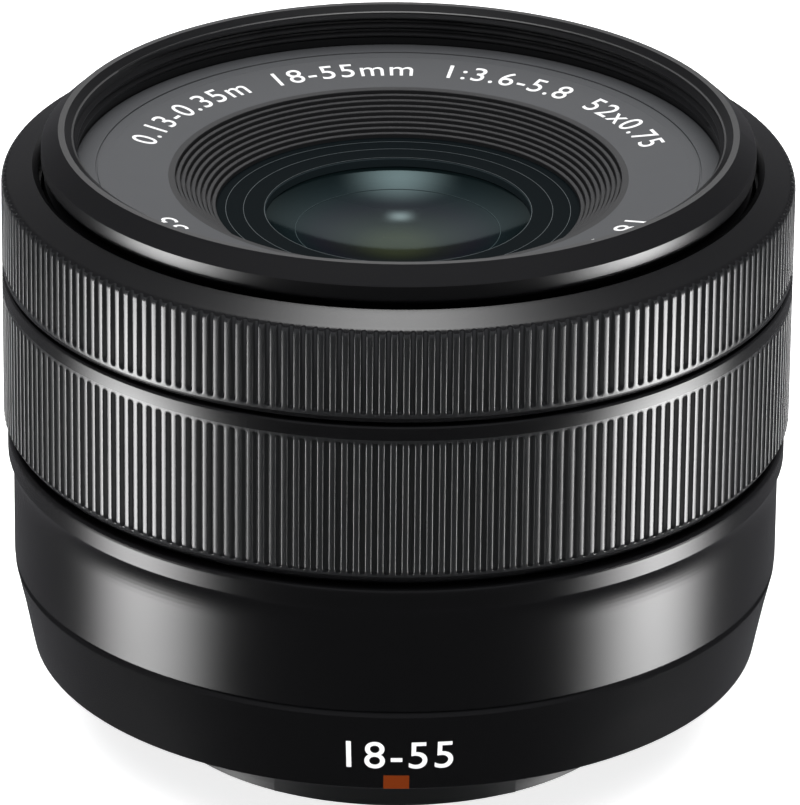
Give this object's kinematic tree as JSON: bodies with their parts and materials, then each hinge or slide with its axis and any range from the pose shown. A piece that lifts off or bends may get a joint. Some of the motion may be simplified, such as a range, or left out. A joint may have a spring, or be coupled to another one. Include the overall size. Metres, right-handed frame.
{
  "type": "camera zoom lens",
  "caption": "Compact retracting power-zoom lens with fluted control and zoom rings, a two-stage barrel driven by a cam ring, an iris and a three-lug bayonet mount.",
  "frame": {"origin": "centre of the mount flange's face", "axes": "+Z along the optical axis to the front glass, -Y to the index mark, +X to the right of it"},
  "size_m": [0.0626, 0.0626, 0.0498],
  "materials": {
    "ring_black": "satin black moulded plastic",
    "shell_black": "satin black moulded plastic",
    "barrel_black": "satin black moulded plastic",
    "name_grey": "fine matt dark grey plastic",
    "cone_black": "matt black plastic",
    "inner_black": "matt black plastic",
    "mount_black": "hard dark grey plastic",
    "blade_black": "matt black coated foil",
    "cam_plastic": "grey bearing plastic",
    "tube_alloy": "dark anodised",
    "steel": "ground",
    "gold": "gold plated",
    "board_green": "solder mask",
    "index_brown": "orange-brown inlay",
    "felt_black": "felt",
    "glass_front": "coated optical glass",
    "glass_inner": "coated optical glass"
  },
  "bodies": {
    "housing": {"rear_housing": "shell_black", "base_skirt": "shell_black", "index_mark": "index_brown", "bayonet_mount": "mount_black", "mount_screws": "steel", "rear_baffle": "inner_black", "contact_block": "inner_black", "contact_pins": "gold", "fixed_sleeve": "inner_black", "ring_spacer": "inner_black", "ring_clip": "steel", "dust_seal": "felt_black", "ring_sensor": "inner_black", "chassis": "inner_black", "guide_tube": "tube_alloy", "zoom_motor": "steel", "guide_rods": "steel", "focus_motor": "steel", "rear_frame": "inner_black", "rear_lens": "glass_inner", "main_board": "board_green", "board_chips": "inner_black"},
    "control_ring": {"control_ring": "ring_black", "encoder_strip": "steel"},
    "zoom_ring": {"zoom_ring": "ring_black", "zoom_wiper": "gold"},
    "cam_ring": {"cam_ring": "cam_plastic"},
    "zoom_pinion": {"zoom_pinion": "cam_plastic"},
    "middle_barrel": {"middle_barrel": "barrel_black", "middle_pins": "steel"},
    "front_barrel": {"front_barrel": "barrel_black", "front_pins": "steel", "name_plate": "name_grey", "stepped_cone": "cone_black", "front_cell": "inner_black", "front_lens": "glass_front", "second_lens": "glass_inner", "third_lens": "glass_inner", "front_retainer": "inner_black"},
    "zoom_carriage": {"zoom_carriage": "inner_black", "carriage_pins": "steel", "carriage_lens": "glass_inner", "iris_base": "inner_black", "iris_cover": "inner_black"},
    "iris_ring": {"iris_ring": "blade_black"},
    "shift_x": {"shift_x_frame": "inner_black"},
    "shift_y": {"shift_y_frame": "inner_black", "shift_lens": "glass_inner"},
    "focus_carriage": {"focus_carriage": "inner_black", "focus_lens": "glass_inner"},
    "lead_screw": {"lead_screw": "steel"},
    "iris_blade_1": {"iris_blade_1": "blade_black"},
    "iris_blade_2": {"iris_blade_2": "blade_black"},
    "iris_blade_3": {"iris_blade_3": "blade_black"},
    "iris_blade_4": {"iris_blade_4": "blade_black"},
    "iris_blade_5": {"iris_blade_5": "blade_black"},
    "iris_blade_6": {"iris_blade_6": "blade_black"},
    "iris_blade_7": {"iris_blade_7": "blade_black"}
  },
  "joints": [
    {"name": "control_ring_turn", "type": "hinge", "parent": "housing", "child": "control_ring", "pos_m": [0, 0, 0.0375], "axis": [0, 0, 1], "continuous": true},
    {"name": "zoom_ring_turn", "type": "hinge", "parent": "housing", "child": "zoom_ring", "pos_m": [0, 0, 0.026], "axis": [0, 0, 1], "range_deg": [-25, 25], "stiffness_Nm_per_rad": 0.06},
    {"name": "cam_turn", "type": "hinge", "parent": "housing", "child": "cam_ring", "pos_m": [0, 0, 0.022], "axis": [0, 0, 1], "range_deg": [0, 50.05]},
    {"name": "pinion_turn", "type": "hinge", "parent": "housing", "child": "zoom_pinion", "pos_m": [-0.02067, -0.00752, 0.0095], "axis": [0, 0, 1], "range_deg": [0, 509]},
    {"name": "middle_slide", "type": "slide", "parent": "housing", "child": "middle_barrel", "axis": [0, 0, 1], "range_m": [0, 0.0105]},
    {"name": "front_slide", "type": "slide", "parent": "middle_barrel", "child": "front_barrel", "axis": [0, 0, 1], "range_m": [0, 0.01051]},
    {"name": "carriage_slide", "type": "slide", "parent": "housing", "child": "zoom_carriage", "axis": [0, 0, 1], "range_m": [0, 0.00801]},
    {"name": "iris_turn", "type": "hinge", "parent": "zoom_carriage", "child": "iris_ring", "pos_m": [0, 0, 0.0222], "axis": [0, 0, 1], "range_deg": [0, 3.46]},
    {"name": "blade_1_turn", "type": "hinge", "parent": "zoom_carriage", "child": "iris_blade_1", "pos_m": [0.011, 0, 0.0204], "axis": [0, 0, 1], "range_deg": [0, 28.02]},
    {"name": "blade_2_turn", "type": "hinge", "parent": "zoom_carriage", "child": "iris_blade_2", "pos_m": [0.00686, 0.0086, 0.0206], "axis": [0, 0, 1], "range_deg": [0, 28.02]},
    {"name": "blade_3_turn", "type": "hinge", "parent": "zoom_carriage", "child": "iris_blade_3", "pos_m": [-0.00245, 0.01072, 0.0208], "axis": [0, 0, 1], "range_deg": [0, 28.02]},
    {"name": "blade_4_turn", "type": "hinge", "parent": "zoom_carriage", "child": "iris_blade_4", "pos_m": [-0.00991, 0.00477, 0.021], "axis": [0, 0, 1], "range_deg": [0, 28.02]},
    {"name": "blade_5_turn", "type": "hinge", "parent": "zoom_carriage", "child": "iris_blade_5", "pos_m": [-0.00991, -0.00477, 0.0212], "axis": [0, 0, 1], "range_deg": [0, 28.02]},
    {"name": "blade_6_turn", "type": "hinge", "parent": "zoom_carriage", "child": "iris_blade_6", "pos_m": [-0.00245, -0.01072, 0.0214], "axis": [0, 0, 1], "range_deg": [0, 28.02]},
    {"name": "blade_7_turn", "type": "hinge", "parent": "zoom_carriage", "child": "iris_blade_7", "pos_m": [0.00686, -0.0086, 0.0216], "axis": [0, 0, 1], "range_deg": [0, 28.02]},
    {"name": "shift_x_slide", "type": "slide", "parent": "zoom_carriage", "child": "shift_x", "axis": [1, 0, 0], "range_m": [-0.0004, 0.0004], "stiffness_N_per_m": 150},
    {"name": "shift_y_slide", "type": "slide", "parent": "shift_x", "child": "shift_y", "axis": [0, 1, 0], "range_m": [-0.0004, 0.0004], "stiffness_N_per_m": 150},
    {"name": "focus_slide", "type": "slide", "parent": "housing", "child": "focus_carriage", "axis": [0, 0, 1], "range_m": [0, 0.003]},
    {"name": "lead_screw_turn", "type": "hinge", "parent": "housing", "child": "lead_screw", "pos_m": [0, -0.0148, 0.0085], "axis": [0, 0, 1], "range_deg": [0, 1080.5]}
  ],
  "couplings": [
    {"joint": "cam_turn", "follows": "middle_slide", "rad_per_m": 83.111},
    {"joint": "pinion_turn", "follows": "middle_slide", "rad_per_m": 844.96},
    {"joint": "front_slide", "follows": "middle_slide", "ratio": 1},
    {"joint": "carriage_slide", "follows": "middle_slide", "ratio": 0.7619},
    {"joint": "blade_1_turn", "follows": "iris_turn", "ratio": 8.085},
    {"joint": "blade_2_turn", "follows": "iris_turn", "ratio": 8.085},
    {"joint": "blade_3_turn", "follows": "iris_turn", "ratio": 8.085},
    {"joint": "blade_4_turn", "follows": "iris_turn", "ratio": 8.085},
    {"joint": "blade_5_turn", "follows": "iris_turn", "ratio": 8.085},
    {"joint": "blade_6_turn", "follows": "iris_turn", "ratio": 8.085},
    {"joint": "blade_7_turn", "follows": "iris_turn", "ratio": 8.085},
    {"joint": "lead_screw_turn", "follows": "focus_slide", "rad_per_m": 6283.2}
  ]
}
